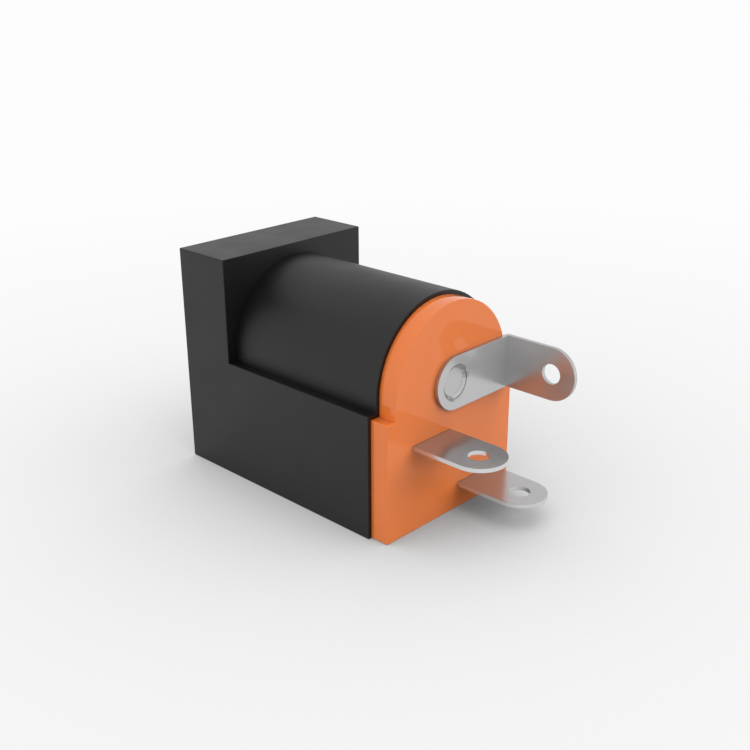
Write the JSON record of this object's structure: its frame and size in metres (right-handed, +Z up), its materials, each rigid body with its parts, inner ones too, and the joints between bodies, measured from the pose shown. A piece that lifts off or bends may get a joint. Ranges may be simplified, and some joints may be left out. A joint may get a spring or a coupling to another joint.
{
  "type": "dc barrel jack",
  "caption": "Straight power jack for a barrel plug: a flanged half-round housing, a rear insulator, a riveted centre pin and flat solder lugs.",
  "frame": {"origin": "centre of the plug opening, in the mating face", "axes": "+Y back along the socket axis towards the lugs, +Z up from the base, +X to the side of the middle lug"},
  "size_m": [0.009, 0.0175, 0.011],
  "materials": {
    "housing_black": "satin",
    "insulator_orange": "gloss",
    "plated_pin": "satin",
    "plated_sheet": "satin"
  },
  "bodies": {
    "root": {"housing": "housing_black", "rear_insulator": "insulator_orange", "centre_pin": "plated_pin", "pin_lug": "plated_sheet", "switch_lug": "plated_sheet", "sleeve_spring": "plated_sheet"}
  },
  "joints": []
}
